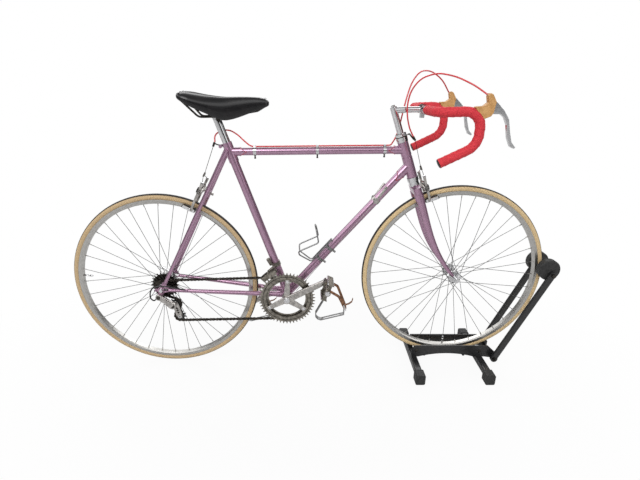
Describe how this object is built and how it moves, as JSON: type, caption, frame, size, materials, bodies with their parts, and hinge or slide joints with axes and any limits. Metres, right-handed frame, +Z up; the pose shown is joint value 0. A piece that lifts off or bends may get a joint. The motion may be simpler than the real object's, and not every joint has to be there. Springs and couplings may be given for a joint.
{
  "type": "bicycle",
  "caption": "Steel road bicycle with a lugged frame, drop bars, toe clips and centre-pull brakes, held by its lifted front wheel in a low floor stand.",
  "frame": {"origin": "bottom centre of the whole, on the floor", "axes": "+X forward, +Y to the rider's left, +Z up"},
  "size_m": [1.79, 0.39, 1.0976],
  "materials": {
    "frame_paint": "metallic gloss",
    "plated_steel": "bright",
    "alloy": "satin",
    "ring_steel": "satin",
    "dark_steel": "oiled",
    "red_tape": "woven cotton",
    "red_housing": "gloss",
    "gum_rubber": "satin",
    "tyre_rubber": "matte",
    "black_plastic": "satin",
    "black_leather": "polished",
    "brown_leather": "worn",
    "pedal_steel": "satin",
    "black_steel": "satin",
    "black_rubber": "matte"
  },
  "bodies": {
    "front_end": {"stand_plates": "black_steel", "stand_feet": "black_steel", "stand_rubbers": "black_rubber", "stand_arm": "black_steel", "stand_discs": "black_rubber", "fork_crown": "frame_paint", "fork_blades": "frame_paint", "fork_ends": "plated_steel", "headset_rings": "plated_steel", "stem": "alloy", "handlebar": "alloy", "bar_tape": "red_tape", "brake_hoods": "gum_rubber", "brake_levers": "alloy", "front_brake": "alloy", "front_brake_pads": "black_rubber", "front_brake_hanger": "plated_steel", "front_brake_cable": "red_housing", "front_axle": "plated_steel"},
    "front_wheel": {"front_hub": "alloy", "front_spokes": "plated_steel", "front_rim": "alloy", "front_tyre": "tyre_rubber"},
    "frame": {"main_tubes": "frame_paint", "lugs": "frame_paint", "bottom_bracket_shell": "frame_paint", "bearing_cups": "plated_steel", "chain_stays": "frame_paint", "seat_stays": "frame_paint", "rear_ends": "frame_paint", "cable_clips": "plated_steel", "rear_cable_loop": "red_housing", "rear_brake_cable": "red_housing", "rear_brake_hanger": "plated_steel", "rear_brake": "alloy", "rear_brake_pads": "black_rubber", "seat_post": "alloy", "saddle_rails": "plated_steel", "saddle": "black_leather", "bottle_cage": "alloy", "shift_levers": "alloy", "derailleur_cable": "black_plastic", "front_derailleur": "alloy", "rear_derailleur": "alloy", "jockey_wheels": "black_plastic", "chain": "dark_steel", "rear_axle": "plated_steel"},
    "rear_wheel": {"rear_hub": "alloy", "rear_spokes": "plated_steel", "rear_rim": "alloy", "rear_tyre": "tyre_rubber"},
    "freewheel": {"freewheel": "dark_steel"},
    "crankset": {"cranks": "alloy", "chainrings": "ring_steel"},
    "pedal_right": {"pedal_right": "pedal_steel", "toe_clip_right": "plated_steel", "toe_strap_right": "brown_leather"},
    "pedal_left": {"pedal_left": "pedal_steel", "toe_clip_left": "plated_steel", "toe_strap_left": "brown_leather"}
  },
  "joints": [
    {"name": "front_wheel_spin", "type": "hinge", "parent": "front_end", "child": "front_wheel", "pos_m": [0.514, 0, 0.382], "axis": [0, 1, 0], "continuous": true},
    {"name": "steer", "type": "hinge", "parent": "front_end", "child": "frame", "pos_m": [0.47171, 0, 0.36661], "axis": [-0.342, 0, 0.9397], "range_deg": [-60, 60], "deforming": ["rear_cable_loop"]},
    {"name": "rear_wheel_spin", "type": "hinge", "parent": "frame", "child": "rear_wheel", "pos_m": [-0.555, 0, 0.34], "axis": [0, 1, 0], "continuous": true},
    {"name": "crank_spin", "type": "hinge", "parent": "frame", "child": "crankset", "pos_m": [-0.104, 0, 0.3], "axis": [0, 1, 0], "continuous": true, "deforming": ["chain"]},
    {"name": "freewheel_spin", "type": "hinge", "parent": "frame", "child": "freewheel", "pos_m": [-0.555, 0, 0.34], "axis": [0, 1, 0], "continuous": true},
    {"name": "pedal_right_spin", "type": "hinge", "parent": "crankset", "child": "pedal_right", "pos_m": [0.03976, -0.132, 0.383], "axis": [0, 1, 0], "continuous": true},
    {"name": "pedal_left_spin", "type": "hinge", "parent": "crankset", "child": "pedal_left", "pos_m": [-0.24776, 0.132, 0.217], "axis": [0, 1, 0], "continuous": true}
  ],
  "couplings": [
    {"joint": "freewheel_spin", "follows": "crank_spin", "ratio": 3}
  ]
}
